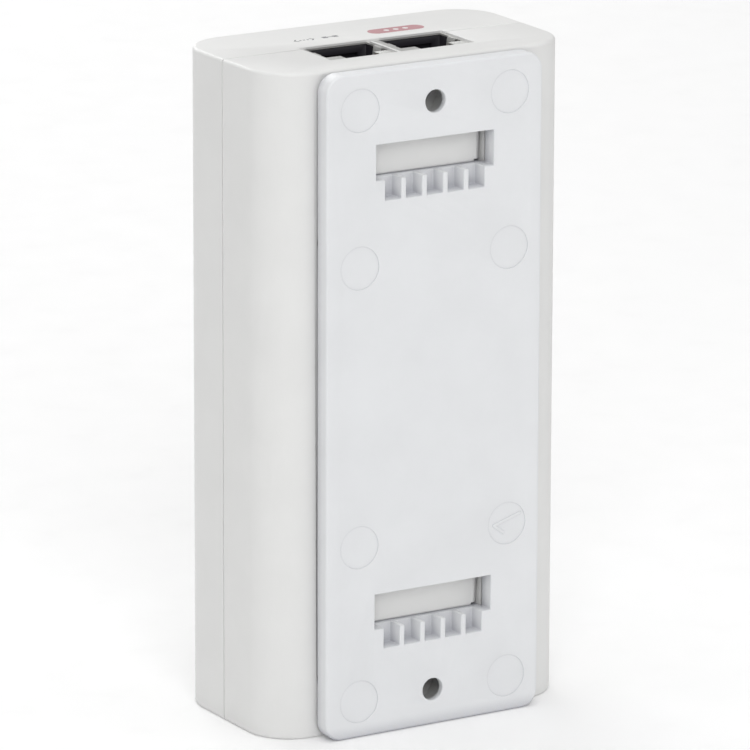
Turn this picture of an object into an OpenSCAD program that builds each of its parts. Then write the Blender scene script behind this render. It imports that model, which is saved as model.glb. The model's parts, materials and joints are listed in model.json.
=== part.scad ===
// PoE injector with a wall bracket. Front face towards -Y, wall side towards +Y, sockets on top (+Z).
// The origin is at the middle of the footprint, on the surface that the injector stands on.
// All sizes are in millimetres.

/* [Housing] */
// Width of the housing, side to side
body_w = 57.5; // [57:0.1:58]
// Depth of the housing, front face to rear face
body_d = 31.5; // [31.3:0.1:32]
// Height of the housing
body_h = 112.5; // [112.3:0.1:114]
// Radius of the four tall corners
corner_r = 8; // [7:0.5:8]
// Radius of the edge around the top and the bottom
edge_r = 0.6; // [0.4:0.1:0.9]
// Wall thickness
wall = 2; // [1.8:0.1:2.1]
// Depth of the front shell, front face to parting line
front_shell_d = 15.65; // [15.5:0.05:15.8]
// Width of the fine groove along the parting line
parting_groove = 0.3; // [0.2:0.05:0.5]

/* [Wall bracket] */
// Width of the plate
plate_w = 41; // [40.5:0.1:41.4]
// Height of the plate
plate_h = 112.2; // [112.2:0.1:112.3]
// Thickness of the plate
plate_t = 3; // [2.9:0.05:3.1]
// Corner radius of the plate
plate_r = 3; // [2:0.5:4]
// Radius of the edge around the plate's wall side
plate_edge_r = 0.45; // [0.3:0.05:0.6]
// Gap between the plate and the housing
stand_off = 0.65; // [0.5:0.05:0.8]
// Distance between the two wall screws
screw_spacing = 100; // [98:0.5:101]
// Radius of the wall screw holes
screw_hole_r = 1.9; // [1.8:0.05:2.1]
// Radius of the countersink for the wall screw's head
screw_head_r = 3.7; // [3.5:0.1:4]
// Lift that frees the injector from the bracket
lift = 6; // [5.8:0.1:6.1]

/* [Hooks] */
// Distance between the ledges of the two hooks
hook_spacing = 75.92; // [75.5:0.1:76.5]
// Width of the window behind each hook
window_w = 22.46; // [22:0.1:22.8]
// Height of the window behind each hook
window_h = 6; // [5.9:0.1:6.2]
// Number of pockets that core each ledge
pocket_count = 5; // [5]
// Width of a ledge pocket
pocket_w = 3.05; // [2.9:0.05:3.1]
// Height of a ledge pocket
pocket_h = 3.45; // [3:0.05:3.6]
// Depth of a ledge pocket
pocket_d = 3.15; // [3.1:0.05:3.3]
// Width of a rib between ledge pockets
rib_w = 0.92; // [0.8:0.02:1]

/* [Sockets] */
// Distance between the middles of the two sockets
port_pitch = 14.2; // [14.15:0.05:14.3]
// Sideways shift of the socket pair
port_shift = -0.45; // [-0.5:0.05:-0.3]
// Width of the opening in the housing top
port_window_w = 27.5; // [27.3:0.1:27.8]
// Depth of the opening in the housing top, front to back
port_window_d = 10.7; // [10.5:0.1:10.9]
// How far the socket faces lie below the housing top
port_recess = 0.45; // [0.3:0.05:0.6]
// Width of the plug opening
plug_w = 11.7; // [11.6:0.05:11.9]
// Height of the plug opening, contacts to latch shoulder
plug_h = 7.1; // [6.8:0.1:7.2]
// Depth of the plug opening
plug_l = 13.5; // [12:0.5:14]

/* [Mains inlet] */
// Width of the inlet face
inlet_w = 26.8; // [26:0.1:27]
// Height of the inlet face, front to back
inlet_h = 19.6; // [19:0.1:20]
// Length of the inlet into the housing
inlet_l = 19; // [18:0.5:20]
// Depth of the cavity that takes the mains connector
inlet_cavity_l = 15; // [14:0.5:15.5]

/* [Circuit board] */
// Thickness of the circuit board
board_t = 1.6; // [1.6]
// Width of the circuit board
board_w = 49; // [47:0.5:50]
// Bottom edge of the circuit board
board_z0 = 26.5; // [26:0.5:27]
// Top edge of the circuit board
board_z1 = 108.5; // [107:0.5:109]

/* [Hidden] */
$fn = 64;
tiny = 0.01;
total_d = body_d + stand_off + plate_t;
front_y = -total_d / 2;
rear_y = front_y + body_d;
part_y = front_y + front_shell_d;
plate_back_y = rear_y + stand_off;
plate_face_y = total_d / 2;
plate_mid_z = plate_h / 2;
ledge_zs = [plate_mid_z - hook_spacing / 2, plate_mid_z + hook_spacing / 2];
wall_screw_zs = [plate_mid_z - screw_spacing / 2, plate_mid_z + screw_spacing / 2];

// Hook: a ledge that carries the housing, with a lip that turns up behind the housing's tongue
ledge_t = 4;
lip_w = 20;
lip_t = 1.5;
lip_h = 5.4;
tongue_w = 22.2;
tongue_t = 1.8;
tongue_rest = 0.05;
tongue_nose = 0.3;
tongue_edge_r = 1.3;
tongue_notch_w = 1.45;
tongue_notch_h = 0.45;
lip_gap = 0.27;
tongue_back_y = rear_y - tongue_t;
lip_y1 = tongue_back_y - lip_gap;
lip_y0 = lip_y1 - lip_t;

// Slot in the rear shell for each hook, closed off inside by a box
slot_w = 22.96;
slot_above = 6.6;
slot_below = ledge_t + lift + 0.4;
slot_floor_y = lip_y0 - 0.35;
slot_wall = 1.2;

// Well in the rear shell behind each wall screw, which clears the screw's head
well_r = 4.4;
well_d = 3.5;
well_wall = 1;

// Seam lip of the rear shell, which fits inside the front shell's rim
seam_lip_d = 1.5;
seam_inset = 1.1;
seam_gap = 0.1;

// Sockets
port_y0 = -3.3;
port_y1 = port_y0 + port_window_d;
port_xs = [port_shift + port_pitch / 2, port_shift - port_pitch / 2];
latch_w = 6.4;
latch_h = 2.1;
latch_tip_w = 3.8;
latch_tip_h = 1.3;
jack_w = 14;
jack_y0 = -5;
jack_y1 = 8;
jack_l = 21;
jack_face_z = body_h - port_recess;
shield_t = 0.3;
shield_gap = 0.05;
divider_w = 0.5;
spring_w = 2.2;
spring_y = 0.7;
spring_l = 6;
spring_reach = 0.9;
spring_t = 0.25;
contact_count = 8;
contact_pitch = 1.02;
contact_w = 0.4;
contact_t = 0.35;

// Mains inlet
inlet_y = -2;
inlet_recess = 0.4;
inlet_rim = 1.4;
inlet_rim_t = 1.5;
inlet_cavity_w = 24.3;
inlet_cavity_h = 16.5;
inlet_cavity_cut = 4.5;
pin_t = 2;
pin_h = 4;
pin_spread = 7;
pin_offset = 2;
pin_tip_z = 2;
pin_tail_z = 23;
lead_r = 0.9;
lead_rise = 5.5;

// Circuit board
board_y1 = jack_y0;
board_y0 = board_y1 - board_t;
sheet_t = 0.4;
sheet_y = board_y0 - 5.4;

// Case screws: [x, z]
boss_xzs = [[-17.25, 10], [17.25, 10], [-17.25, 84], [17.25, 84]];
boss_r = 3;
boss_foot_r = 4.2;
boss_top_y = 4;
sleeve_r = 3.6;
sleeve_floor_t = 2;
case_screw_r = 1.5;
case_screw_l = 13;
case_screw_head_r = 2.7;
case_screw_head_t = 2;
case_screw_bore_r = 1.7;
thread_bite = 0.25;
case_screw_head_bore_r = 2.85;

// Status light
led_z = 92;
led_r = 1.5;
led_l = 4.6;
light_pipe_r = 1.25;

// ---- Shared shapes ----

// A centred rectangle with round corners
module round_rect(w, h, r) {
    square([w - 2 * r, h], center = true);
    square([w, h - 2 * r], center = true);
    for (x = [-1, 1], y = [-1, 1])
        translate([x * (w / 2 - r), y * (h / 2 - r)]) circle(r);
}

// A round_rect drawn in X and Z and pushed through from y0 to y1, its middle at height z
module xz_block(w, h, r, y0, y1, z)
    translate([0, y1, z]) rotate([90, 0, 0]) linear_extrude(y1 - y0) round_rect(w, h, r);

// A box from one corner to the other
module span(low, high) translate(low) cube(high - low);

// A round bar along Y
module y_bar(x, z, r, y0, y1) translate([x, y1, z]) rotate([90, 0, 0]) cylinder(y1 - y0, r = r);

// The outside of the closed housing
module housing() {
    mid_y = (front_y + rear_y) / 2;
    translate([0, mid_y, body_h / 2]) {
        rotate([90, 0, 90]) linear_extrude(body_w - 2 * corner_r, center = true)
            round_rect(body_d, body_h, edge_r);
        rotate([90, 0, 0]) linear_extrude(body_d - 2 * corner_r, center = true)
            round_rect(body_w, body_h, edge_r);
        for (x = [-1, 1], y = [-1, 1])
            translate([x * (body_w / 2 - corner_r), y * (body_d / 2 - corner_r), 0])
                rotate_extrude() intersection() {
                    round_rect(2 * corner_r, body_h, edge_r);
                    translate([0, -body_h / 2]) square([corner_r, body_h]);
                }
    }
}

// The space inside the housing walls
module cavity()
    translate([0, (front_y + rear_y) / 2, wall]) linear_extrude(body_h - 2 * wall)
        round_rect(body_w - 2 * wall, body_d - 2 * wall, corner_r - wall);

// The housing's outline at the parting line, taken in by inset
module seam_ring(inset, y0, y1)
    difference() {
        xz_block(body_w - 2 * inset, body_h - 2 * inset, edge_r, y0, y1, body_h / 2);
        xz_block(body_w - 2 * wall, body_h - 2 * wall, edge_r, y0 - 1, y1 + 1, body_h / 2);
    }

// The fine groove along the parting line, cut into both shells
module groove()
    difference() {
        xz_block(body_w + 2, body_h + 2, edge_r, part_y - parting_groove / 2,
            part_y + parting_groove / 2, body_h / 2);
        xz_block(body_w - 2 * parting_groove, body_h - 2 * parting_groove, edge_r, part_y - 1,
            part_y + 1, body_h / 2);
    }

// The opening in the top for both sockets, with the wider space under it for their bodies
module port_window() {
    span([-port_window_w / 2, port_y0, jack_face_z - tiny], [port_window_w / 2, port_y1, body_h + 1]);
    span([port_shift - port_pitch / 2 - jack_w / 2 - 0.2, jack_y0 - 0.2, body_h - wall - 1],
        [port_shift + port_pitch / 2 + jack_w / 2 + 0.2, jack_y1 + 0.2, jack_face_z]);
}

// The opening in the bottom for the mains inlet
module inlet_window()
    span([-inlet_w / 2 - 0.15, inlet_y - inlet_h / 2 - 0.15, -1],
        [inlet_w / 2 + 0.15, inlet_y + inlet_h / 2 + 0.15, wall + 1]);

// The plug opening of a socket in X and Y: the plug, and the two steps of its latch
module plug_outline(grow) {
    shoulder_h = plug_h + latch_h;
    steps = [[plug_w, plug_h], [latch_w, shoulder_h], [latch_tip_w, shoulder_h + latch_tip_h]];
    for (s = steps)
        translate([-s[0] / 2 - grow, port_y0 - grow]) square([s[0] + 2 * grow, s[1] + 2 * grow]);
}

// ---- Housing ----

module front_shell() color("whitesmoke") difference() {
    union() {
        difference() {
            intersection() {
                housing();
                span([-body_w, front_y - 1, -1], [body_w, part_y, body_h + 1]);
            }
            cavity();
            seam_ring(seam_inset - seam_gap, part_y - seam_lip_d - seam_gap, part_y + 1);
        }
        for (p = boss_xzs) {
            y_bar(p[0], p[1], boss_r, front_y + wall - tiny, boss_top_y);
            y_bar(p[0], p[1], boss_foot_r, front_y + wall - tiny, sheet_y - 0.2);
        }
        y_bar(0, led_z, light_pipe_r + 1.2, front_y + wall - tiny, sheet_y - 0.2);
    }
    groove();
    port_window();
    inlet_window();
    for (p = boss_xzs)
        y_bar(p[0], p[1], case_screw_r - thread_bite, boss_top_y - case_screw_l, boss_top_y + 1);
    y_bar(0, led_z, light_pipe_r + 0.05, front_y - 1, sheet_y + 1);
}

// The tongue that hangs in each slot and rests on the bracket's ledge
module tongue(z) {
    front = tongue_w / 2 - tongue_edge_r;
    difference() {
        translate([0, rear_y, z + tongue_rest]) linear_extrude(slot_above + 0.2) intersection() {
            translate([-tongue_w / 2, -tongue_t]) square([tongue_w, tongue_t]);
            union() {
                translate([-front, -tongue_t]) square([2 * front, tongue_t]);
                translate([-tongue_w / 2, -tongue_t]) square([tongue_w, tongue_t - tongue_edge_r]);
                for (x = [-1, 1]) translate([x * front, -tongue_edge_r]) circle(tongue_edge_r);
            }
        }
        for (x = [-tongue_w, tongue_w])
            translate([x / 2, rear_y, z + tongue_rest])
                cube([2 * tongue_notch_w, 3 * tongue_t, 2 * tongue_notch_h], center = true);
        translate([-tongue_w, rear_y, z + tongue_rest]) rotate([0, 90, 0])
            linear_extrude(2 * tongue_w)
            polygon([[tiny, tiny], [-tongue_nose, tiny], [tiny, -tongue_nose]]);
    }
}

module slot_opening(z)
    span([-slot_w / 2, slot_floor_y, z - slot_below], [slot_w / 2, rear_y + 1, z + slot_above]);

module slot_box(z)
    span([-slot_w / 2 - slot_wall, slot_floor_y - slot_wall, z - slot_below - slot_wall],
        [slot_w / 2 + slot_wall, rear_y - wall + tiny, z + slot_above + slot_wall]);

module rear_shell() color("whitesmoke") {
    difference() {
        union() {
            difference() {
                intersection() {
                    housing();
                    span([-body_w, part_y, -1], [body_w, rear_y + 1, body_h + 1]);
                }
                cavity();
            }
            seam_ring(seam_inset, part_y - seam_lip_d, part_y + tiny);
            for (z = ledge_zs) slot_box(z);
            for (z = wall_screw_zs) intersection() {
                y_bar(0, z, well_r + well_wall, rear_y - well_d - well_wall, rear_y - wall + tiny);
                housing();
            }
            for (p = boss_xzs) y_bar(p[0], p[1], sleeve_r, boss_top_y, rear_y - wall + tiny);
        }
        groove();
        port_window();
        inlet_window();
        for (z = ledge_zs) slot_opening(z);
        for (z = wall_screw_zs) y_bar(0, z, well_r, rear_y - well_d, rear_y + 1);
        for (p = boss_xzs) {
            y_bar(p[0], p[1], case_screw_bore_r, boss_top_y - 1, rear_y + 1);
            y_bar(p[0], p[1], case_screw_head_bore_r, boss_top_y + sleeve_floor_t, rear_y + 1);
        }
    }
    for (z = ledge_zs) tongue(z);
    translate([port_shift + port_pitch / 2 - plug_w / 2 - divider_w, part_y, jack_face_z])
        cube([divider_w, port_y1 - part_y, port_recess - 0.1]);
}

module case_screws() color("silver")
    for (p = boss_xzs) {
        head_y = boss_top_y + sleeve_floor_t;
        difference() {
            union() {
                y_bar(p[0], p[1], case_screw_head_r, head_y, head_y + case_screw_head_t);
                y_bar(p[0], p[1], case_screw_r, head_y - case_screw_l, head_y + tiny);
            }
            for (a = [0, 90]) translate([p[0], head_y + case_screw_head_t, p[1]]) rotate([0, a, 0])
                cube([3, 2, 0.6], center = true);
        }
    }

module light_pipe() color("honeydew") {
    y_bar(0, led_z, light_pipe_r, front_y + 0.05, sheet_y + sheet_t);
    y_bar(0, led_z, light_pipe_r + 1, sheet_y - 0.15, sheet_y + sheet_t);
}

// ---- Wall bracket ----

// The plate lies in X and Y with its face up, and is stood up by plate_place
module plate_slab() {
    inner_w = plate_w - 2 * plate_r;
    inner_h = plate_h - 2 * plate_r;
    module side_profile(half) intersection() {
        round_rect(2 * half, 2 * plate_t, plate_edge_r);
        translate([-half, 0]) square([2 * half, plate_t]);
    }
    rotate([90, 0, 90]) linear_extrude(inner_w, center = true) side_profile(plate_h / 2);
    rotate([90, 0, 0]) linear_extrude(inner_h, center = true) side_profile(plate_w / 2);
    for (x = [-1, 1], y = [-1, 1]) translate([x * inner_w / 2, y * inner_h / 2, 0])
        rotate_extrude() intersection() {
            side_profile(plate_r);
            square([plate_r, plate_t]);
        }
}

module hook(z) {
    span([-window_w / 2, lip_y0, z - ledge_t], [window_w / 2, plate_back_y + tiny, z]);
    span([-lip_w / 2, lip_y0, z - ledge_t], [lip_w / 2, lip_y1, z + lip_h]);
}

module ledge_pockets(z) {
    pitch = pocket_w + rib_w;
    for (i = [0:pocket_count - 1]) {
        x = (i - (pocket_count - 1) / 2) * pitch;
        span([x - pocket_w / 2, plate_face_y - pocket_d, z - pocket_h],
            [x + pocket_w / 2, plate_face_y + 1, z + tiny]);
    }
}

// The ledge between the tongue and the plate's face is flush with the bottom of the window
module window(z)
    span([-window_w / 2, plate_back_y - tiny, z], [window_w / 2, plate_face_y + 1, z + window_h]);

// Shallow round marks that the mould's ejector pins leave
module ejector_marks() {
    for (x = [-14.23, 14.23], z = [-49.9, -23.4, 23.8, 50])
        y_bar(x, plate_mid_z + z, 3.6, plate_face_y - 0.12, plate_face_y + 1);
}

module wall_bracket() color("white") difference() {
    union() {
        translate([0, plate_back_y, plate_mid_z]) rotate([-90, 0, 0]) plate_slab();
        for (z = ledge_zs) hook(z);
    }
    for (z = ledge_zs) {
        window(z);
        ledge_pockets(z);
    }
    ejector_marks();
    for (z = wall_screw_zs) {
        sink_t = screw_head_r - screw_hole_r;
        y_bar(0, z, screw_hole_r, plate_back_y - 1, plate_face_y + 1);
        translate([0, plate_back_y - tiny, z]) rotate([-90, 0, 0])
            cylinder(sink_t, r1 = screw_head_r, r2 = screw_hole_r);
    }
}

// ---- Sockets ----

module jack_insert(x) translate([x, 0, 0]) difference() {
    gap = shield_t + shield_gap;
    span([-jack_w / 2 + gap, jack_y0 + gap, jack_face_z - jack_l],
        [jack_w / 2 - gap, jack_y1 - gap, jack_face_z - gap]);
    translate([0, 0, jack_face_z - plug_l]) linear_extrude(plug_l) plug_outline(0.05);
    // Room for the contacts to flex, behind the plug
    span([-4.4, port_y0 - 0.8, jack_face_z - plug_l - 2], [4.4, port_y0 + 4, jack_face_z - 1.6]);
}

module jack_shield(x) translate([x, 0, 0]) {
    difference() {
        span([-jack_w / 2, jack_y0, jack_face_z - jack_l], [jack_w / 2, jack_y1, jack_face_z]);
        span([-jack_w / 2 + shield_t, jack_y0 + shield_t, jack_face_z - jack_l - 1],
            [jack_w / 2 - shield_t, jack_y1 - shield_t, jack_face_z - shield_t]);
        translate([0, 0, jack_face_z - 1]) linear_extrude(2) plug_outline(0);
    }
    // Side springs that ground the plug, folded in from the face
    for (s = [-1, 1])
        translate([s * (plug_w / 2 + tiny), spring_y + spring_w / 2, jack_face_z])
            rotate([90, 0, 0]) linear_extrude(spring_w)
            polygon([[0, 0], [0, -shield_t], [-s * spring_reach, -spring_l],
                [-s * (spring_reach + spring_t), -spring_l], [-s * spring_t, 0]]);
}

// One spring contact in Y and Z: up the front wall of the plug opening, then back down into it
module contact_profile() {
    y = port_y0 - 0.55;
    z = jack_face_z - 3.4;
    polygon([[y, z - 11], [y, z], [y + 3.1, z - 7], [y + 2.75, z - 7.1],
        [y + contact_t, z - 1.7], [y + contact_t, z - 11]]);
}

module jack_contacts(x)
    for (i = [0:contact_count - 1]) {
        left = x + (i - (contact_count - 1) / 2) * contact_pitch - contact_w / 2;
        translate([left, 0, 0]) rotate([90, 0, 90]) linear_extrude(contact_w) contact_profile();
    }

module lan_jack() color("#202022") jack_insert(port_xs[0]);
module poe_jack() color("#202022") jack_insert(port_xs[1]);
module lan_shield() color("silver") jack_shield(port_xs[0]);
module poe_shield() color("silver") jack_shield(port_xs[1]);
module lan_contacts() color("gold") jack_contacts(port_xs[0]);
module poe_contacts() color("gold") jack_contacts(port_xs[1]);

// ---- Mains inlet ----

// The connector cavity in X and Y, with two corners cut on the earth side
module inlet_outline() {
    w = inlet_cavity_w / 2;
    h = inlet_cavity_h / 2;
    c = inlet_cavity_cut;
    polygon([[-w, -h], [w, -h], [w, h - c], [w - c, h], [-w + c, h], [-w, h - c]]);
}

module inlet_body() color("#1c1c1e") translate([0, inlet_y, 0]) difference() {
    union() {
        span([-inlet_w / 2, -inlet_h / 2, inlet_recess], [inlet_w / 2, inlet_h / 2, inlet_l]);
        span([-inlet_w / 2 - inlet_rim, -inlet_h / 2 - inlet_rim, wall + 0.05],
            [inlet_w / 2 + inlet_rim, inlet_h / 2 + inlet_rim, wall + inlet_rim_t]);
    }
    translate([0, 0, inlet_recess - 1]) linear_extrude(inlet_cavity_l + 1) inlet_outline();
    for (p = [[-pin_spread, -pin_offset], [pin_spread, -pin_offset], [0, pin_offset]])
        translate([p[0] - pin_t / 2, p[1] - pin_h / 2, inlet_recess]) cube([pin_t, pin_h, inlet_l]);
}

module inlet_pin(x, y) color("silver") translate([x, inlet_y + y, 0]) {
    span([-pin_t / 2, -pin_h / 2, pin_tip_z + 1], [pin_t / 2, pin_h / 2, inlet_l]);
    tip = [pin_t / 2 - 0.4, pin_h / 2 - 0.6];
    span([-tip[0], -tip[1], pin_tip_z], [tip[0], tip[1], pin_tail_z]);
}

// An insulated lead from the tail of a pin, up and then forward to the circuit board
module inlet_lead(x, y) {
    run_y = inlet_y + y;
    bend_z = pin_tail_z + lead_rise;
    translate([x, run_y, pin_tail_z]) cylinder(lead_rise, r = lead_r);
    translate([x, run_y, bend_z]) sphere(lead_r * 1.1);
    y_bar(x, bend_z, lead_r, board_y1, run_y);
}

module line_pin() inlet_pin(-pin_spread, -pin_offset);
module neutral_pin() inlet_pin(pin_spread, -pin_offset);
module earth_pin() inlet_pin(0, pin_offset);
module line_lead() color("saddlebrown") inlet_lead(-pin_spread, -pin_offset);
module neutral_lead() color("royalblue") inlet_lead(pin_spread, -pin_offset);
module earth_lead() color("forestgreen") inlet_lead(0, pin_offset);

// ---- Circuit board and what is on it ----

module board_sheet(w, y0, y1, z0, z1, hole_r) difference() {
    span([-w / 2, y0, z0], [w / 2, y1, z1]);
    for (p = boss_xzs) y_bar(p[0], p[1], hole_r, y0 - 1, y1 + 1);
}

module circuit_board() color("#2f6b45")
    board_sheet(board_w, board_y0, board_y1, board_z0, board_z1, boss_r + 0.3);

module insulating_sheet() color("#e8e4d0") difference() {
    board_sheet(board_w - 2, sheet_y, sheet_y + sheet_t, board_z0 + 1, board_z1 - 1, boss_r + 0.3);
    y_bar(0, led_z, light_pipe_r + 1.3, sheet_y - 1, sheet_y + 1);
}

// A box that stands on the board, its middle at x and z
module part_box(x, z, w, l, h) translate([x - w / 2, board_y1, z - l / 2]) cube([w, h, l]);

module fuse() color("#2a2a2a") y_bar(-18, 34, 4.2, board_y1, board_y1 + 8);
module thermistor() color("#26362c") translate([-7, board_y1 + 5.5, 36])
    cylinder(4, r = 5.5, center = true);
module x_capacitor() color("goldenrod") part_box(12, 36.5, 17.5, 8.5, 14.5);
module common_mode_choke() color("#8a4a24") translate([-15, board_y1 + 4.2, 47.5]) rotate([90, 0, 0])
    rotate_extrude() translate([5.6, 0]) round_rect(4.6, 8, 1.2);
module bridge_rectifier() color("#222222") part_box(12, 44, 15, 3.5, 12);
module bulk_capacitor() color("#1f2a44") translate([-22, board_y1 + 8.1, 64]) rotate([0, 90, 0])
    cylinder(24, r = 8);
module heatsink() color("gainsboro") {
    part_box(13, 54.5, 20, 1.6, 15.5);
    part_box(3.8, 51.5, 1.6, 7.6, 15.5);
}
module switch_transistor() color("#2b2b2b") part_box(13, 51.4, 10.2, 4.6, 14);
module transformer_core() color("#3a3a3e") difference() {
    part_box(-3, 81, 20, 16, 13);
    span([-10, board_y1 - 1, 75.5], [4, board_y1 + 14, 86.5]);
}
module transformer_winding() color("#c9a227") part_box(-3, 81, 13.8, 10.8, 12.4);
module output_capacitors() color("#28344f") for (z = [62, 73])
    y_bar(12.5, z, 5, board_y1, board_y1 + 15.5);
module output_inductor() color("#3c3c3c") y_bar(20.5, 68, 3.6, board_y1, board_y1 + 10);
module y_capacitor() color("steelblue") translate([20.5, board_y1 + 3.1, 60])
    cylinder(3.6, r = 3, center = true);
module optocoupler() color("#ececec") part_box(-20, 76, 6.4, 4.6, 3.6);
module controller_chip() color("#1d1d1d") part_box(20.8, 75, 6, 5, 1.7);
module lan_magnetics() color("#181818") part_box(19.5, 98, 7, 12.7, 6);
module poe_magnetics() color("#181818") part_box(-20, 98, 7, 12.7, 6);
module status_led() color("limegreen") y_bar(0, led_z, led_r, sheet_y + sheet_t + 0.1, board_y0);

front_shell();
rear_shell();
wall_bracket();
case_screws();
lan_jack();
poe_jack();
lan_shield();
poe_shield();
lan_contacts();
poe_contacts();
inlet_body();
line_pin();
neutral_pin();
earth_pin();
line_lead();
neutral_lead();
earth_lead();
circuit_board();
insulating_sheet();
fuse();
thermistor();
x_capacitor();
common_mode_choke();
bridge_rectifier();
bulk_capacitor();
heatsink();
switch_transistor();
transformer_core();
transformer_winding();
output_capacitors();
output_inductor();
y_capacitor();
optocoupler();
controller_chip();
lan_magnetics();
poe_magnetics();
status_led();
light_pipe();
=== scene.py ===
import json
import math

import bmesh
import bpy
from mathutils import Matrix, Vector


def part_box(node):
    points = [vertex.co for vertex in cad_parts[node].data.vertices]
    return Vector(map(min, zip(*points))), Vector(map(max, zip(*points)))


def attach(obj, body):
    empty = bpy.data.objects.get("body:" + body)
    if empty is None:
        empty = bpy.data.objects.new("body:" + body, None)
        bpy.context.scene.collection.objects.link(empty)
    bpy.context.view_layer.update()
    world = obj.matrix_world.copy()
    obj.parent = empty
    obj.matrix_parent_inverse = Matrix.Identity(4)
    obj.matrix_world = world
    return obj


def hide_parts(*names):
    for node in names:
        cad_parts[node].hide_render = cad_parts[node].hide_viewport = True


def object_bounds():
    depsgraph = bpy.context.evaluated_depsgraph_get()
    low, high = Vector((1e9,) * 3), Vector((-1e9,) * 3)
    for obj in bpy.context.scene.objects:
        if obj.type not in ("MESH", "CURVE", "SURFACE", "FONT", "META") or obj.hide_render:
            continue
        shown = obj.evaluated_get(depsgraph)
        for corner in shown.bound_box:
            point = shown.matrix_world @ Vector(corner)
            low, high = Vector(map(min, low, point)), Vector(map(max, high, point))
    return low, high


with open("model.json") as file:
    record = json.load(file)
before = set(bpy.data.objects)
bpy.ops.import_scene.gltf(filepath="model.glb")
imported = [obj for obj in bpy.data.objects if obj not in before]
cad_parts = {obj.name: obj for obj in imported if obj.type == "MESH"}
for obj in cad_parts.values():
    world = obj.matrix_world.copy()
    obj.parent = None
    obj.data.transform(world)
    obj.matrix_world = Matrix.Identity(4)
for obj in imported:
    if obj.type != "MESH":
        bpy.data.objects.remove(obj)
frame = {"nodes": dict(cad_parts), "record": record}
CAD_LOW, CAD_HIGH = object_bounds()
MM = 0.001


# ---- Camera, lights and floor ----

CAMERA_AT = (565.1, 940.6, 352.1)
CAMERA_TARGET = (11.351, 17.575, 61.64)
CAMERA_ROLL = math.radians(0.16)
SENSOR = 36.0
LENS = 328.3


def make_camera():
    """The photograph's view: from behind, the wall side and the +X side in sight."""
    data = bpy.data.cameras.new("camera")
    data.sensor_width = SENSOR
    data.lens = LENS
    data.clip_start, data.clip_end = 0.05, 30
    camera = bpy.data.objects.new("camera", data)
    bpy.context.scene.collection.objects.link(camera)
    at, target = Vector(CAMERA_AT) * MM, Vector(CAMERA_TARGET) * MM
    turn = (target - at).to_track_quat("-Z", "Y").to_matrix().to_4x4()
    camera.matrix_world = Matrix.Translation(at) @ turn @ Matrix.Rotation(CAMERA_ROLL, 4, "Z")
    bpy.context.scene.camera = camera


def area_light(name, azimuth, elevation, away, size, watts):
    """A square soft box, seen from the object at that azimuth (from +X towards +Y) and elevation."""
    data = bpy.data.lights.new(name, "AREA")
    data.shape = "SQUARE"
    data.size = size
    data.energy = watts
    lamp = bpy.data.objects.new(name, data)
    bpy.context.scene.collection.objects.link(lamp)
    a, e = math.radians(azimuth), math.radians(elevation)
    back = Vector((math.cos(a) * math.cos(e), math.sin(a) * math.cos(e), math.sin(e)))
    lamp.location = (CAD_LOW + CAD_HIGH) / 2 + back * away
    lamp.rotation_mode = "QUATERNION"
    lamp.rotation_quaternion = (-back).to_track_quat("-Z", "Y")


WORLD_STRENGTH = 0.353
FLOOR_GLOW = 0.1
LIGHTS = (
    # name, azimuth, elevation, distance, size, watts
    ("key", 65, 35, 1.5, 0.8, 7.8),
    ("side_fill", 5, 20, 1.5, 0.8, 0.2),
    ("right_fill", 140, 20, 1.5, 0.8, 0.8),
    ("top", 0, 89, 1.5, 1.2, 9.2),
    ("front_fill", 265, 25, 1.5, 1.0, 7.2),
)


def make_studio():
    world = bpy.data.worlds.new("studio")
    world.use_nodes = True
    backdrop = world.node_tree.nodes["Background"]
    backdrop.inputs["Color"].default_value = (1, 1, 1, 1)
    backdrop.inputs["Strength"].default_value = WORLD_STRENGTH
    scene = bpy.context.scene
    scene.world = world
    scene.view_settings.view_transform = "Standard"
    for light in LIGHTS:
        area_light(*light)


def make_floor():
    """A pale light table under the object."""
    bm = bmesh.new()
    bmesh.ops.create_circle(bm, cap_ends=True, segments=96, radius=6.0)
    floor = mesh_object("floor", bm)
    floor.location.z = CAD_LOW.z - 0.02 * MM
    paper = plastic("floor_paper", (0.9, 0.9, 0.9), 0.9, grain=0.0005)
    shader = paper.node_tree.nodes["Principled BSDF"]
    shader.inputs["Emission Color"].default_value = (1, 1, 1, 1)
    shader.inputs["Emission Strength"].default_value = FLOOR_GLOW
    floor.data.materials.append(paper)


# ---- Materials ----

def add_node(tree, kind, **values):
    node = tree.nodes.new(kind)
    for key, value in values.items():
        if key in node.inputs:
            node.inputs[key].default_value = value
        else:
            setattr(node, key, value)
    return node


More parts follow.
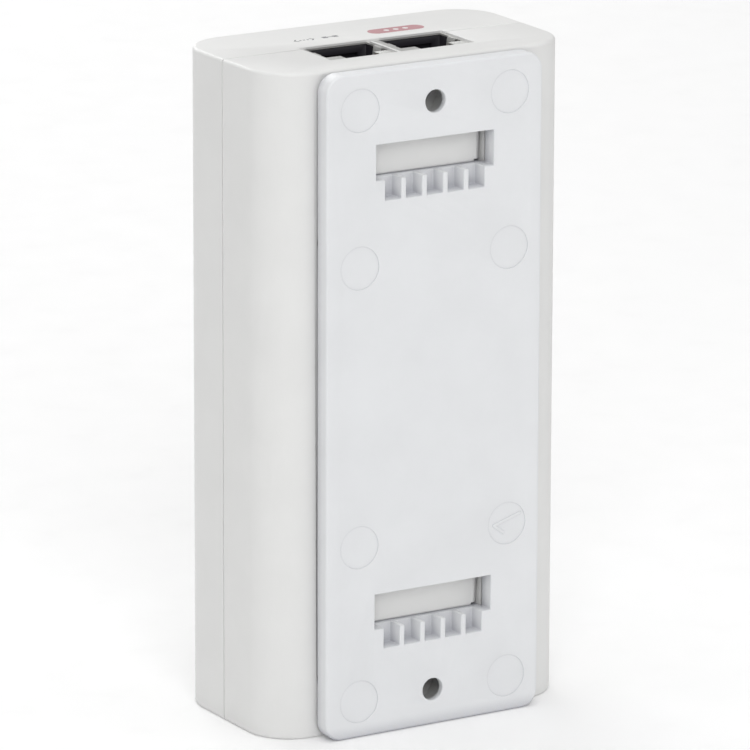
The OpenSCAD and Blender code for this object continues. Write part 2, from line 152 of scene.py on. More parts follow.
def plastic(name, colour, roughness, grain=0.0004, bump=0.02, mottle=0.015, painted_crevice_shade=0.0, metallic=0.0):
    """Moulded plastic: a fine bump at the scale of grain (metres), an uneven tone, and painted shade that
    darkens crevices found by ambient occlusion.
    """
    material = bpy.data.materials.new(name)
    material.use_nodes = True
    tree = material.node_tree
    shader = tree.nodes["Principled BSDF"]
    shader.inputs["Roughness"].default_value = roughness
    shader.inputs["Metallic"].default_value = metallic
    place = add_node(tree, "ShaderNodeTexCoord")
    cloud = add_node(tree, "ShaderNodeTexNoise", Scale=110.0, Detail=3.0)
    ramp = add_node(tree, "ShaderNodeValToRGB")
    ramp.color_ramp.elements[0].position = 0.3
    ramp.color_ramp.elements[0].color = (*[c * (1 - mottle) for c in colour], 1)
    ramp.color_ramp.elements[1].position = 0.7
    ramp.color_ramp.elements[1].color = (*[min(1, c * (1 + mottle)) for c in colour], 1)
    fine = add_node(tree, "ShaderNodeTexNoise", Scale=1 / grain, Detail=2.0)
    relief = add_node(tree, "ShaderNodeBump", Strength=bump, Distance=grain)
    link = tree.links.new
    link(place.outputs["Object"], cloud.inputs["Vector"])
    link(place.outputs["Object"], fine.inputs["Vector"])
    link(cloud.outputs["Fac"], ramp.inputs["Fac"])
    link(fine.outputs["Fac"], relief.inputs["Height"])
    link(relief.outputs["Normal"], shader.inputs["Normal"])
    colour_out = ramp.outputs["Color"]
    # Painted shade: where ambient occlusion finds a crevice within 2.5 mm, the base colour is mixed towards a
    # dark bluish grey.
    if painted_crevice_shade:
        hollow = add_node(tree, "ShaderNodeAmbientOcclusion", Distance=2.5 * MM, samples=6)
        shade = add_node(tree, "ShaderNodeMapRange")
        shade.inputs["To Min"].default_value = 1 - painted_crevice_shade
        tint = add_node(tree, "ShaderNodeMix", data_type="RGBA", blend_type="MIX")
        tint.inputs["A"].default_value = (*[c * 0.3 for c in colour[:2]], colour[2] * 0.36, 1)
        link(hollow.outputs["AO"], shade.inputs["Value"])
        link(shade.outputs["Result"], tint.inputs["Factor"])
        link(colour_out, tint.inputs["B"])
        colour_out = tint.outputs["Result"]
    link(colour_out, shader.inputs["Base Color"])
    return material


def metal(name, colour, roughness, grain=0.0003, bump=0.05, metallic=1.0):
    return plastic(name, colour, roughness, grain, bump, mottle=0.08, metallic=metallic)


def banded(name, colours, scale, axis, roughness=0.45, distortion=0.5):
    """Bands across an axis, such as turns of tape or wire."""
    material = plastic(name, colours[0], roughness, bump=0.05)
    tree = material.node_tree
    shader = tree.nodes["Principled BSDF"]
    place = next(n for n in tree.nodes if n.type == "TEX_COORD")
    wave = add_node(tree, "ShaderNodeTexWave", bands_direction=axis, Scale=scale, Distortion=distortion)
    ramp = add_node(tree, "ShaderNodeValToRGB")
    ramp.color_ramp.elements[0].color = (*colours[0], 1)
    ramp.color_ramp.elements[1].color = (*colours[1], 1)
    relief = add_node(tree, "ShaderNodeBump", Strength=0.4, Distance=0.0002)
    tree.links.new(place.outputs["Object"], wave.inputs["Vector"])
    tree.links.new(wave.outputs["Fac"], ramp.inputs["Fac"])
    tree.links.new(wave.outputs["Fac"], relief.inputs["Height"])
    tree.links.new(ramp.outputs["Color"], shader.inputs["Base Color"])
    tree.links.new(relief.outputs["Normal"], shader.inputs["Normal"])
    return material


def laminate():
    """Green circuit board with lighter copper runs under the mask and tinned spots."""
    material = plastic("board_laminate_look", (0.02, 0.13, 0.05), 0.35, bump=0.05)
    tree = material.node_tree
    shader = tree.nodes["Principled BSDF"]
    place = next(n for n in tree.nodes if n.type == "TEX_COORD")
    runs = add_node(tree, "ShaderNodeTexVoronoi", distance="CHEBYCHEV", Scale=110.0, Randomness=0.9)
    nested = add_node(tree, "ShaderNodeMath", operation="PINGPONG")
    nested.inputs[1].default_value = 0.07
    track = add_node(tree, "ShaderNodeMath", operation="LESS_THAN")
    track.inputs[1].default_value = 0.022
    mask = add_node(tree, "ShaderNodeMix", data_type="RGBA")
    mask.inputs["A"].default_value = (0.018, 0.12, 0.045, 1)
    mask.inputs["B"].default_value = (0.03, 0.18, 0.07, 1)
    dots = add_node(tree, "ShaderNodeTexVoronoi", Scale=420.0, Randomness=0.6)
    spot = add_node(tree, "ShaderNodeMath", operation="LESS_THAN")
    spot.inputs[1].default_value = 0.13
    mix = add_node(tree, "ShaderNodeMix", data_type="RGBA")
    mix.inputs["B"].default_value = (0.5, 0.5, 0.48, 1)
    link = tree.links.new
    link(place.outputs["Object"], runs.inputs["Vector"])
    link(runs.outputs["Distance"], nested.inputs[0])
    link(nested.outputs["Value"], track.inputs[0])
    link(track.outputs["Value"], mask.inputs["Factor"])
    link(place.outputs["Object"], dots.inputs["Vector"])
    link(dots.outputs["Distance"], spot.inputs[0])
    link(spot.outputs["Value"], mix.inputs["Factor"])
    link(mask.outputs["Result"], mix.inputs["A"])
    link(mix.outputs["Result"], shader.inputs["Base Color"])
    return material


def clear(name, colour, roughness=0.1, transmission=0.8):
    material = plastic(name, colour, roughness, bump=0.01)
    material.node_tree.nodes["Principled BSDF"].inputs["Transmission Weight"].default_value = transmission
    return material


# ---- Mesh helpers. They work in millimetres, and make() turns the result into metres. ----

def mesh_object(name, bm):
    data = bpy.data.meshes.new(name)
    bm.to_mesh(data)
    bm.free()
    made = bpy.data.objects.new(name, data)
    bpy.context.scene.collection.objects.link(made)
    return made


def apply_modifiers(piece):
    """Replaces the piece's mesh with what its modifiers make of it."""
    graph = bpy.context.evaluated_depsgraph_get()
    baked = bpy.data.meshes.new_from_object(piece.evaluated_get(graph))
    piece.modifiers.clear()
    piece.data = baked


def round_edges(piece, width, segments, method="ANGLE", angle=40, clamp=True):
    rounder = piece.modifiers.new("edges", "BEVEL")
    rounder.width = width * MM
    rounder.segments = segments
    rounder.limit_method = method
    rounder.angle_limit = math.radians(angle)
    rounder.use_clamp_overlap = clamp
    apply_modifiers(piece)


def box_mm(node):
    low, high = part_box(node)
    return low / MM, high / MM


def body_of(node):
    return next(b for b, members in frame["record"]["behaviour"]["bodies"].items() if node in members)


def settle(piece, look, node=None, rides_with=None):
    """Gives a piece its material slot, smooth shading and body, and hides the CAD node that it stands for."""
    piece.data.materials.clear()
    piece.data.materials.append(look)
    piece.data.shade_smooth()
    piece.data.set_sharp_from_angle(angle=math.radians(32))
    if node:
        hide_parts(node)
    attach(piece, body_of(node or rides_with))
    return piece


def make(name, bm, look, node=None, rides_with=None, bevel=0.0, segments=2):
    bmesh.ops.recalc_face_normals(bm, faces=bm.faces)
    bmesh.ops.scale(bm, vec=(MM, MM, MM), verts=bm.verts)
    piece = mesh_object(name, bm)
    if bevel:
        round_edges(piece, bevel, segments)
    return settle(piece, look, node, rides_with)


def add_block(bm, low, high):
    made = bmesh.ops.create_cube(bm, size=1)["verts"]
    size = [h - l for l, h in zip(low, high)]
    bmesh.ops.scale(bm, vec=size, verts=made)
    bmesh.ops.translate(bm, vec=[(l + h) / 2 for l, h in zip(low, high)], verts=made)
    return made


AXES = {"X": (1, 2, 0), "Y": (2, 0, 1), "Z": (0, 1, 2)}


def add_lathe(bm, centre, axis, profile, sides=48):
    """Turns a profile of (radius, height) points about an axis through centre. Heights run along the axis."""
    first, second, along = AXES[axis]
    rings = []
    for radius, height in profile:
        ring = []
        for i in range(sides if radius > 0 else 1):
            angle = 2 * math.pi * i / sides
            at = list(centre)
            at[first] += radius * math.cos(angle)
            at[second] += radius * math.sin(angle)
            at[along] += height
            ring.append(bm.verts.new(at))
        rings.append(ring)
    for lower, upper in zip(rings, rings[1:]):
        for i in range(sides):
            j = (i + 1) % sides
            below = [lower[k % len(lower)] for k in (i, j)]
            above = [upper[k % len(upper)] for k in (j, i)]
            corners = list(dict.fromkeys(below + above))
            if len(corners) > 2:
                bm.faces.new(corners)
    for ring in (rings[0], rings[-1]):
        if len(ring) > 2:
            bm.faces.new(ring)


def add_tube(bm, points, radius, sides=8):
    """A round wire along points, with closed ends."""
    points = [Vector(p) for p in points]
    normal = None
    rings = []
    for i, p in enumerate(points):
        along = (points[min(i + 1, len(points) - 1)] - points[max(i - 1, 0)]).normalized()
        if normal is None:
            normal = along.orthogonal().normalized()
        normal = (normal - along * normal.dot(along)).normalized()
        other = along.cross(normal)
        turn = [2 * math.pi * k / sides for k in range(sides)]
        rings.append([bm.verts.new(p + radius * (math.cos(t) * normal + math.sin(t) * other)) for t in turn])
    for lower, upper in zip(rings, rings[1:]):
        for k in range(sides):
            j = (k + 1) % sides
            bm.faces.new((lower[k], lower[j], upper[j], upper[k]))
    bm.faces.new(rings[0])
    bm.faces.new(rings[-1])


def refined(node, name, look, width, weight=None, segments=2):
    """Stands for a CAD node: its shape with the sharp edges rounded.

    weight gives an edge's share of width, by its middle.
    """
    bm = bmesh.new()
    bm.from_mesh(frame["nodes"][node].data)
    bmesh.ops.remove_doubles(bm, verts=bm.verts, dist=0.001 * MM)
    bmesh.ops.dissolve_limit(bm, angle_limit=math.radians(0.2), verts=bm.verts, edges=bm.edges)
    marked = bm.edges.layers.float.new("bevel_weight_edge")
    for edge in bm.edges:
        if len(edge.link_faces) == 2 and edge.calc_face_angle(0) > math.radians(40):
            middle = (edge.verts[0].co + edge.verts[1].co) / 2 / MM
            edge[marked] = weight(middle) if weight else 1.0
    piece = mesh_object(name, bm)
    round_edges(piece, width, segments, method="WEIGHT", clamp=weight is None)
    return settle(piece, look, node)


# ---- Housing and bracket ----

# Painted shade in crevices: slight on the housing, strong on the bracket, where hollows go up to four fifths
# of the way to dark.
HOUSING = plastic("housing_plastic_look", (0.80, 0.80, 0.79), 0.42, painted_crevice_shade=0.06)
BRACKET = plastic("bracket_plastic_look", (0.80, 0.81, 0.825), 0.42, grain=0.0006, bump=0.05, painted_crevice_shade=0.8)

rear_high = box_mm("rear_shell")[1]
front_low, front_high = box_mm("front_shell")
plate_high = box_mm("wall_bracket")[1]
PARTING_Y = front_high.y
MARK_R = 3.6
MARK_DEPTH = 0.12
MARK_X = 14.23
MARK_ZS = (6.2, 32.7, 79.9, 106.1)


def housing_weight(p):
    """The outer edges are rounded, the groove's edges a little, and those inside stay as they are."""
    outer = (
        p.z > front_high.z - 0.01 or p.z < 0.01 or p.y < front_low.y + 0.01 or p.y > rear_high.y - 0.01
    )
    if abs(p.y - PARTING_Y) < 0.2:
        return 0.45 if outer or abs(p.x) > front_high.x - 0.01 else 0.0
    return 1.0 if outer else 0.0


def plate_weight(p):
    """Ejector marks are shallow, so only their rims are rounded, and less."""
    for z in MARK_ZS:
        if math.hypot(abs(p.x) - MARK_X, p.z - z) < MARK_R + 0.1 and p.y > plate_high.y - 2 * MARK_DEPTH:
            return 0.55 if p.y > plate_high.y - MARK_DEPTH / 2 else 0.0
    return 1.0


refined("front_shell", "housing_front", HOUSING, 0.12, housing_weight)
refined("rear_shell", "housing_rear", HOUSING, 0.12, housing_weight)
refined("wall_bracket", "bracket_plate", BRACKET, 0.2, plate_weight, segments=3)


def mould_arrow():
    """The raised line with a barb that the mould leaves in one ejector mark."""
    bm = bmesh.new()
    at_x, at_z = -MARK_X, MARK_ZS[1]
    floor = plate_high.y - MARK_DEPTH
    line = [(-2.56, 1.42), (2.45, -0.15), (0.54, -1.6)]
    for start, end in zip(line, line[1:]):
        points = [(at_x + x, floor + 0.02, at_z + z) for x, z in (start, end)]
        add_tube(bm, points, 0.27, sides=10)
    ball_r, rings = 0.28, 8
    turns = [math.pi * k / rings for k in range(1, rings)]
    ball = [(0, -ball_r), *[(ball_r * math.sin(t), -ball_r * math.cos(t)) for t in turns], (0, ball_r)]
    for x, z in line[:2]:
        add_lathe(bm, (at_x + x, floor + 0.02, at_z + z), "Z", ball, sides=12)
    bmesh.ops.scale(bm, vec=(1, 0.5, 1), space=Matrix.Translation((0, -floor, 0)), verts=bm.verts)
    make("bracket_mould_arrow", bm, BRACKET, rides_with="wall_bracket")


mould_arrow()


# ---- Printed marks on the top face ----

INK_T = 0.02
RED_INK = plastic("red_ink", (0.52, 0.27, 0.29), 0.5, grain=0.0002, mottle=0.08)
GREY_INK = plastic("grey_ink", (0.22, 0.22, 0.23), 0.5, grain=0.0002, mottle=0.08)
WHITE_INK = plastic("white_ink", (0.82, 0.8, 0.8), 0.5, grain=0.0002)


def arc(x, y, radius, start, end, steps=12):
    turn = [math.radians(start + (end - start) * i / steps) for i in range(steps + 1)]
    return [(x + radius * math.cos(t), y + radius * math.sin(t)) for t in turn]


def bar(x, y, w, h, lean=0.0):
    """A rectangle about (x, y), leaning by lean degrees."""
    c, s = math.cos(math.radians(lean)), math.sin(math.radians(lean))
    return [
        (x + c * i * w / 2 - s * j * h / 2, y + s * i * w / 2 + c * j * h / 2)
        for i, j in ((-1, -1), (1, -1), (1, 1), (-1, 1))
    ]


def print_mark(name, outlines, at, look, layer=1):
    """Flat ink on the top face. Outlines are read from behind the object: x to the reader's right, y away."""
    bm = bmesh.new()
    low = front_high.z - INK_T
    high = front_high.z + INK_T * layer
    for outline in outlines:
        points = [(at[0] - x, at[1] - y) for x, y in outline]
        bottom = [bm.verts.new((*p, low)) for p in points]
        top = [bm.verts.new((*p, high)) for p in points]
        bm.faces.new(bottom)
        bm.faces.new(top)
        for i in range(len(points)):
            j = (i + 1) % len(points)
            bm.faces.new((bottom[i], bottom[j], top[j], top[i]))
    make(name, bm, look, rides_with="front_shell")


PILL_AT = (-7.5, -7.5)
PILL_HALF, PILL_R = 5.25, 1.6
straight = PILL_HALF - PILL_R
pill = arc(straight, 0, PILL_R, -90, 90) + arc(-straight, 0, PILL_R, 90, 270)
print_mark("mark_power_pill", [pill], PILL_AT, RED_INK)
print_mark(
    "mark_power_symbols",
    [
        arc(x, 0, 0.5, 0, 345, 23) for x in (-1.8, 0, 1.8)
    ],
    PILL_AT, WHITE_INK, layer=2,
)
print_mark(
    "mark_network",
    [
        bar(-1.0, 0, 0.9, 0.9), bar(1.0, 0, 0.9, 0.9), bar(0, 0, 1.1, 0.24),
    ],
    (4.9, -7.9), GREY_INK,
)
print_mark(
    "mark_port",
    [
        bar(-1.55, 0.3, 0.9, 0.24, 50), bar(-1.55, -0.3, 0.9, 0.24, -50),
        bar(1.55, 0.3, 0.9, 0.24, -50), bar(1.55, -0.3, 0.9, 0.24, 50),
        *[bar(x, 0, 0.36, 0.36) for x in (-0.7, 0, 0.7)],
    ],
    (9.9, -7.8), GREY_INK,
)


# ---- Sockets and inlet ----

JACK = plastic("jack_plastic_look", (0.016, 0.014, 0.02), 0.5, bump=0.03)
TIN = metal("shield_metal_look", (0.60, 0.60, 0.585), 0.42, metallic=0.65)
GOLD = metal("contact_gold_look", (0.83, 0.6, 0.24), 0.25)
INLET = plastic("inlet_plastic_look", (0.018, 0.018, 0.02), 0.45, bump=0.08)
NICKEL = metal("pin_metal_look", (0.68, 0.67, 0.64), 0.25)

for port in ("lan", "poe"):
    refined(port + "_jack", port + "_socket_body", JACK, 0.06)
    refined(port + "_shield", port + "_socket_shield", TIN, 0.06)
    refined(port + "_contacts", port + "_socket_contacts", GOLD, 0.06)
refined("inlet_body", "mains_inlet", INLET, 0.3)
for pin in ("line", "neutral", "earth"):
    refined(pin + "_pin", "inlet_" + pin, NICKEL, 0.3, segments=3)


# ---- Leads, screws and light ----

def keep(node, look):
    """A CAD node whose shape is right, with its own finish."""
    mesh = frame["nodes"][node].data
    mesh.materials.clear()
    mesh.materials.append(look)


STEEL = metal("screw_steel_look", (0.62, 0.62, 0.60), 0.3)
LEADS = (
    # node, colour name, colour
    ("line_lead", "brown", (0.13, 0.05, 0.02)),
    ("neutral_lead", "blue", (0.02, 0.08, 0.35)),
    ("earth_lead", "green", (0.05, 0.25, 0.05)),
)
for node, colour, tint in LEADS:
    keep(node, plastic("lead_" + colour + "_look", tint, 0.4, bump=0.04, mottle=0.08))
keep("circuit_board", laminate())
keep("insulating_sheet", clear("insulating_film_look", (0.75, 0.68, 0.45), 0.3, 0.4))


def thread(radius, start, end, pitch=1.1, depth=0.22):
    """A screw's profile: ridges from start to end, then a point."""
    profile = [(0, start), (radius * 0.35, start), (radius - depth, start + 1.4)]
    at = start + 1.4
    while at + pitch < end:
        profile += [(radius, at + pitch * 0.35), (radius, at + pitch * 0.5), (radius - depth, at + pitch)]
        at += pitch
    return profile + [(radius - depth, end)]


def case_screws():
    """Pan heads with a cross recess, on shanks with ridges."""
    low, high = box_mm("case_screws")
    head_t, head_r, shank_r = 2.0, 2.7, 1.5
    recess_r, recess_d, recess_w = 1.25, 1.3, 0.45
    neck = high.y - head_t
    head = [
        (head_r, neck), (head_r, neck + 0.9), (head_r * 0.86, neck + 1.6), (head_r * 0.6, high.y),
        (recess_r, high.y), (0.5, high.y - recess_d), (0, high.y - recess_d),
    ]
    bm = bmesh.new()
    for x in (low.x + head_r, high.x - head_r):
        for z in (low.z + head_r, high.z - head_r):
            add_lathe(bm, (x, 0, z), "Y", thread(shank_r, low.y, neck) + head, sides=32)
            for w, h in ((2 * recess_r, recess_w), (recess_w, 2 * recess_r)):
                add_block(bm, (x - w / 2, high.y - 1.2, z - h / 2), (x + w / 2, high.y - 1.15, z + h / 2))
    make("case_screw_set", bm, STEEL, "case_screws")


case_screws()

low, high = box_mm("status_led")
middle = (low + high) / 2
led_r = (high.x - low.x) / 2
bm = bmesh.new()
add_lathe(
    bm, (middle.x, 0, middle.z), "Y",
    [(0, low.y), (led_r * 0.5, low.y + 0.2), (led_r * 0.85, low.y + 0.8), (led_r * 0.93, low.y + 1.4),
     (led_r * 0.93, high.y - 0.8), (led_r, high.y - 0.8), (led_r, high.y)],
)
make("status_led_lens", bm, clear("led_epoxy_look", (0.2, 0.75, 0.25), 0.15, 0.6), "status_led")

low, high = box_mm("light_pipe")
pipe_r = (high.x - low.x) / 2 - 1
bm = bmesh.new()
add_lathe(
    bm, ((low.x + high.x) / 2, 0, (low.z + high.z) / 2), "Y",
    [(0, low.y), (pipe_r * 0.6, low.y + 0.06), (pipe_r, low.y + 0.25), (pipe_r, high.y - 0.55),
     (pipe_r + 1, high.y - 0.55), (pipe_r + 1, high.y), (0, high.y)],
)
PIPE = clear("light_pipe_look", (0.85, 0.9, 0.85), 0.12, 0.85)
make("light_pipe_rod", bm, PIPE, "light_pipe")


# ---- Components on the board. Each fills its CAD node's box. ----

BLACK = plastic("black_component_look", (0.02, 0.02, 0.022), 0.5, grain=0.0003, bump=0.15, mottle=0.1)
GREY = plastic("ferrite_look", (0.09, 0.09, 0.1), 0.55, grain=0.0005, bump=0.3, mottle=0.15)
YELLOW = plastic("film_capacitor_look", (0.72, 0.5, 0.06), 0.35, bump=0.06, mottle=0.05)
TAPE = banded("winding_tape_look", ((0.75, 0.55, 0.08), (0.6, 0.4, 0.04)), 260.0, "Y")
COPPER = banded("enamelled_copper_look", ((0.55, 0.2, 0.07), (0.4, 0.12, 0.04)), 900.0, "Y", roughness=0.25)
SLEEVE = banded("capacitor_sleeve_look", ((0.02, 0.03, 0.09), (0.03, 0.045, 0.13)), 40.0, "Z", distortion=0.1)
CERAMIC = plastic("ceramic_disc_look", (0.06, 0.22, 0.42), 0.3, bump=0.05, mottle=0.05)
ALUMINIUM = metal("heatsink_look", (0.75, 0.75, 0.76), 0.38)
CAN = metal("capacitor_can_look", (0.72, 0.73, 0.74), 0.3)


def package(node, name, bevel=0.35, pins=0, pin_axis="z", look=BLACK):
    """A moulded package in the CAD node's box, with gull-wing pins along its two long sides."""
    low, high = box_mm(node)
    body_low, body_high = Vector(low), Vector(high)
    reach = 0.9
    across, along = ("x", "z") if pin_axis == "z" else ("z", "x")
    if pins:
        body_low.y += 0.25
        setattr(body_low, across, getattr(low, across) + reach)
        setattr(body_high, across, getattr(high, across) - reach)
    bm = bmesh.new()
    add_block(bm, body_low, body_high)
    make(name, bm, look, node, bevel=bevel, segments=2)
    if not pins:
        return
    bm = bmesh.new()
    span = getattr(high, along) - getattr(low, along)
    for i in range(pins):
        at = getattr(low, along) + span * (i + 0.5) / pins
        for side in (-1, 1):
            edge = getattr(high if side > 0 else low, across)
            path = []
            for inward, height in ((0, 0.14), (0.45, 0.14), (0.62, 0.5), (0.75, 1.0), (1.3, 1.1)):
                p = Vector((0, low.y + height, 0))
                setattr(p, across, edge - side * (inward + 0.12))
                setattr(p, along, at)
                path.append(p)
            add_tube(bm, path, 0.14, sides=6)
    make(name + "_pins", bm, NICKEL, rides_with=node)


package("controller_chip", "controller_package", pins=4, bevel=0.15)
package("optocoupler", "optocoupler_package", pins=2, bevel=0.25)
package("lan_magnetics", "lan_magnetics_package", pins=8, bevel=0.3)
package("poe_magnetics", "poe_magnetics_package", pins=8, bevel=0.3)
package("x_capacitor", "x_capacitor_box", bevel=0.9, look=YELLOW)


def bridge_rectifier():
    """A flat four-lead bridge with one corner cut, and a wider shoulder on each lead at the body."""
    low, high = box_mm("bridge_rectifier")
    bm = bmesh.new()
    cut = 2.0
    foot = low.y + 1.6
    outline = [(low.x, foot), (high.x, foot), (high.x, high.y - cut), (high.x - cut, high.y), (low.x, high.y)]
    back = [bm.verts.new((x, y, low.z + 0.2)) for x, y in outline]
    front = [bm.verts.new((x, y, high.z)) for x, y in outline]
    bm.faces.new(back)
    bm.faces.new(front)
    for i in range(len(outline)):
        j = (i + 1) % len(outline)
        bm.faces.new((back[i], back[j], front[j], front[i]))
    make("bridge_rectifier_body", bm, BLACK, "bridge_rectifier", bevel=0.3)
    bm = bmesh.new()
    for i in range(4):
        x = low.x + 1.9 + i * (high.x - low.x - 3.8) / 3
        z = (low.z + high.z) / 2
        add_block(bm, (x - 0.5, foot - 0.6, z - 0.35), (x + 0.5, foot + 0.5, z + 0.35))
        add_block(bm, (x - 0.35, low.y, z - 0.3), (x + 0.35, foot, z + 0.3))
    make("bridge_rectifier_leads", bm, NICKEL, rides_with="bridge_rectifier")


bridge_rectifier()


def can_profile(radius, length):
    """A sleeved can: a crimp above the rubber, a rolled rim and a dished top."""
    return [
        (0, 0.35), (radius * 0.72, 0.35), (radius * 0.78, 0), (radius * 0.93, 0.15), (radius, 0.8),
        (radius, 1.7), (radius * 0.92, 2.2), (radius * 0.92, 2.5), (radius, 3.0), (radius, length - 0.7),
        (radius * 0.96, length - 0.2), (radius * 0.88, length), (radius * 0.84, length),
    ]


def capacitor(node, name, axis, centres, length):
    """Sleeved electrolytic cans that stand or lie on the board, each with a scored metal top."""
    low, high = box_mm(node)
    radius = (high.z - low.z) / 2 if axis == "X" else (high.x - low.x) / 2
    bodies, tops = bmesh.new(), bmesh.new()
    for centre in centres:
        add_lathe(bodies, centre, axis, can_profile(radius, length) + [(radius * 0.84, length - 0.3)])
        under, face, top_r = length - 0.4, length - 0.25, radius * 0.84
        add_lathe(tops, centre, axis, [(0, under), (top_r, under), (top_r, face), (0, face)])
        for turn in (0, 60, 120):
            made = add_block(tops, (-0.12, -radius * 0.6, length - 0.25), (0.12, radius * 0.6, length - 0.15))
            bmesh.ops.rotate(tops, verts=made, matrix=Matrix.Rotation(math.radians(turn), 3, "Z"))
            tip = Matrix.Rotation(math.radians(90 if axis == "X" else -90), 3, "Y" if axis == "X" else "X")
            bmesh.ops.rotate(tops, verts=made, matrix=tip)
            bmesh.ops.translate(tops, vec=centre, verts=made)
    make(name, bodies, SLEEVE, node)
    make(name + "_tops", tops, CAN, rides_with=node)


low, high = box_mm("bulk_capacitor")
middle = (low + high) / 2
capacitor("bulk_capacitor", "bulk_capacitor_can", "X", [(low.x, middle.y, middle.z)], high.x - low.x)
low, high = box_mm("output_capacitors")
can_r = (high.x - low.x) / 2
capacitor(
    "output_capacitors", "output_capacitor_cans", "Y",
    [((low.x + high.x) / 2, low.y, z) for z in (low.z + can_r, high.z - can_r)], high.y - low.y,
)


def lathe_component(node, name, axis, shares, look):
    """A turned shape that fills the node's box. shares are (share of radius, share of length)."""
    low, high = box_mm(node)
    first, _, along = AXES[axis]
    radius, length = (high[first] - low[first]) / 2, high[along] - low[along]
    centre = list((low + high) / 2)
    centre[along] = low[along]
    bm = bmesh.new()
    add_lathe(bm, centre, axis, [(r * radius, h * length) for r, h in shares])
    return make(name, bm, look, node)


lathe_component(
    "fuse", "fuse_can", "Y",
    [
        (0, 0), (0.94, 0), (1, 0.06), (1, 0.12), (0.95, 0.16), (0.95, 0.86), (0.9, 0.96),
        (0.8, 1), (0.25, 1), (0.2, 0.94), (0, 0.94),
    ],
    BLACK,
)
DISC = [(0, 0), (0.7, 0), (0.88, 0.08), (0.98, 0.3), (1, 0.5), (0.98, 0.7), (0.88, 0.92), (0.7, 1), (0, 1)]
THERMISTOR = plastic("thermistor_look", (0.03, 0.07, 0.045), 0.4, bump=0.2, mottle=0.1)
lathe_component("thermistor", "thermistor_disc", "Z", DISC, THERMISTOR)
lathe_component("y_capacitor", "y_capacitor_disc", "Z", DISC, CERAMIC)

TURNS = 9
drum = [(0, 0), (0.96, 0), (1, 0.04), (1, 0.12), (0.94, 0.15)]
for i in range(TURNS):
    foot, step = 0.16 + 0.68 * i / TURNS, 0.68 / TURNS
    drum += [(0.82, foot), (0.88, foot + step * 0.3), (0.88, foot + step * 0.7), (0.82, foot + step)]
drum += [(0.94, 0.85), (1, 0.88), (1, 0.96), (0.96, 1), (0, 1)]
lathe_component("output_inductor", "output_inductor_drum", "Y", drum, GREY)


def leads(name, rides_with, ends, radius=0.3):
    """Straight tinned leads from the board up into a component."""
    bm = bmesh.new()
    for x, z, top in ends:
        foot = box_mm("circuit_board")[1].y
        add_tube(bm, [(x, foot + 0.02, z), (x, (foot + top) / 2, z), (x, top, z)], radius)
    make(name, bm, NICKEL, rides_with=rides_with)


low, high = box_mm("thermistor")
middle = (low + high) / 2
leads("thermistor_leads", "thermistor", [(middle.x + s * 2.5, middle.z, middle.y - 3) for s in (-1, 1)])


def common_mode_choke():
    """Two windings of enamelled wire on a ring core, with a gap and a divider between them."""
    low, high = box_mm("common_mode_choke")
    middle = (low + high) / 2
    outer, half_h = (high.x - low.x) / 2, (high.y - low.y) / 2
    inner = 3.3
    ring_r, half_w = (outer + inner) / 2, (outer - inner) / 2
    wire = 0.34

    def on_ring(angle, phase, share):
        squared = [math.copysign(abs(f(phase)) ** 0.55, f(phase)) for f in (math.cos, math.sin)]
        radius = ring_r + squared[0] * half_w * share
        height = squared[1] * (half_h - (1 - share) * half_w)
        return middle + Vector((radius * math.cos(angle), height, radius * math.sin(angle)))

    core_share = 1 - 2.4 * wire / half_w
    profile = []
    for k in range(24):
        phase = 2 * math.pi * k / 24
        p = on_ring(0, phase, core_share) - middle
        profile.append((p.x, p.y))
    bm = bmesh.new()
    rings = []
    for i in range(48):
        a = 2 * math.pi * i / 48
        c, t = math.cos(a), math.sin(a)
        rings.append([bm.verts.new(middle + Vector((r * c, h, r * t))) for r, h in profile])
    for i in range(48):
        for k in range(24):
            j, m = (i + 1) % 48, (k + 1) % 24
            bm.faces.new((rings[i][k], rings[i][m], rings[j][m], rings[j][k]))
    add_block(bm, middle - Vector((0.4, half_h * 0.8, inner)), middle + Vector((0.4, half_h * 0.8, inner)))
    make("choke_core", bm, GREY, rides_with="common_mode_choke")
    bm = bmesh.new()
    turns, steps = 11, 16
    for start in (15, 195):
        points = []
        for i in range(turns * steps + 1):
            angle = math.radians(start + 150 * i / (turns * steps)) - math.pi / 2
            points.append(on_ring(angle, 2 * math.pi * i / steps, 1 - wire * 1.02 / half_w))
        add_tube(bm, points, wire, sides=6)
    make("choke_windings", bm, COPPER, "common_mode_choke")


common_mode_choke()


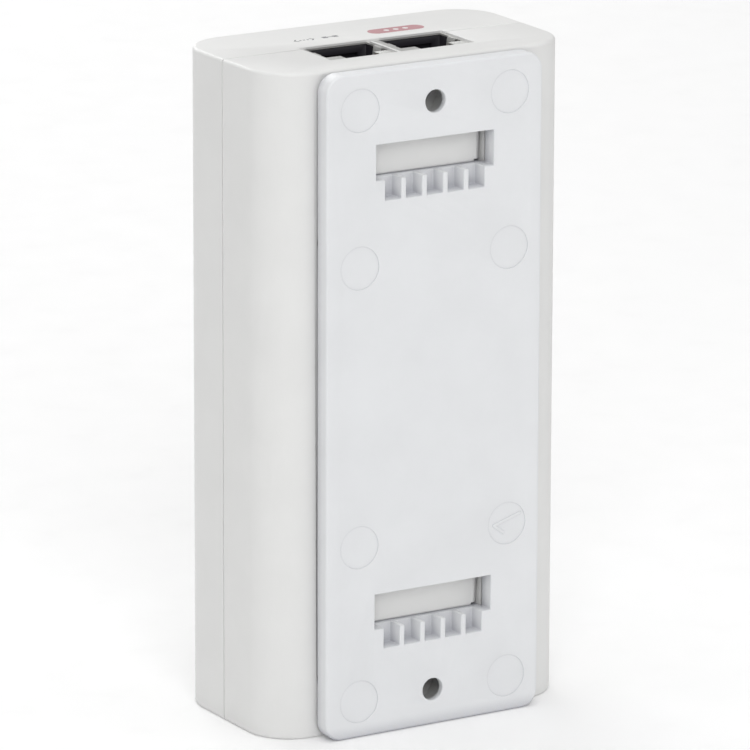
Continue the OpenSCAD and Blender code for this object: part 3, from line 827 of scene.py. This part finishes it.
def heatsink():
    """An angled plate with shallow fins along its face."""
    low, high = box_mm("heatsink")
    bm = bmesh.new()
    base_z = high.z - 1.6
    add_block(bm, (low.x, low.y, base_z + 0.7), high)
    count = 13
    for i in range(count):
        x = low.x + 1.7 + i * (high.x - low.x - 2.3) / count
        add_block(bm, (x, low.y + 0.4, base_z), (x + 0.7, high.y, base_z + 0.75))
    add_block(bm, low, (low.x + 1.6, high.y, base_z + 0.75))
    make("heatsink_plate", bm, ALUMINIUM, "heatsink", bevel=0.12, segments=1)


heatsink()


def switch_transistor():
    """A moulded body on a metal tab, with three leads into the board."""
    low, high = box_mm("switch_transistor")
    middle = (low + high) / 2
    foot = low.y + 3.2
    bm = bmesh.new()
    add_block(bm, (low.x, foot, low.z), (high.x, foot + 8.2, high.z - 0.8))
    make("switch_transistor_body", bm, BLACK, "switch_transistor", bevel=0.5)
    bm = bmesh.new()
    add_block(bm, (low.x + 0.2, foot + 0.3, high.z - 0.9), (high.x - 0.2, high.y, high.z))
    for k in (-1, 0, 1):
        x = middle.x + 2.54 * k
        add_block(bm, (x - 0.6, foot - 1.4, middle.z - 0.25), (x + 0.6, foot + 0.3, middle.z + 0.25))
        add_block(bm, (x - 0.35, low.y, middle.z - 0.25), (x + 0.35, foot - 1.2, middle.z + 0.25))
    make("switch_transistor_tab", bm, NICKEL, rides_with="switch_transistor", bevel=0.1)


switch_transistor()


def transformer():
    """A ferrite frame around a taped winding on a bobbin."""
    low, high = box_mm("transformer_winding")
    bm = bmesh.new()
    add_block(bm, low + Vector((0.9, 1.3, 0.3)), high - Vector((0.9, 0.9, 0.3)))
    make("transformer_tape", bm, TAPE, "transformer_winding", bevel=1.6, segments=5)
    bm = bmesh.new()
    for start, end in ((low.x, low.x + 0.9), (high.x - 0.9, high.x)):
        add_block(bm, (start, low.y + 0.4, low.z), (end, high.y, high.z))
    for side in (low.z + 0.6, high.z - 0.6):
        for k in range(5):
            x = low.x + 2 + k * (high.x - low.x - 4) / 4
            add_tube(bm, [(x, low.y + 0.02, side), (x, low.y + 0.7, side), (x, low.y + 1.4, side)], 0.35)
    make(
        "transformer_bobbin", bm, BLACK,
        rides_with="transformer_winding", bevel=0.1, segments=1,
    )
    refined("transformer_core", "transformer_ferrite", GREY, 0.5)


transformer()


make_camera()
make_studio()
make_floor()
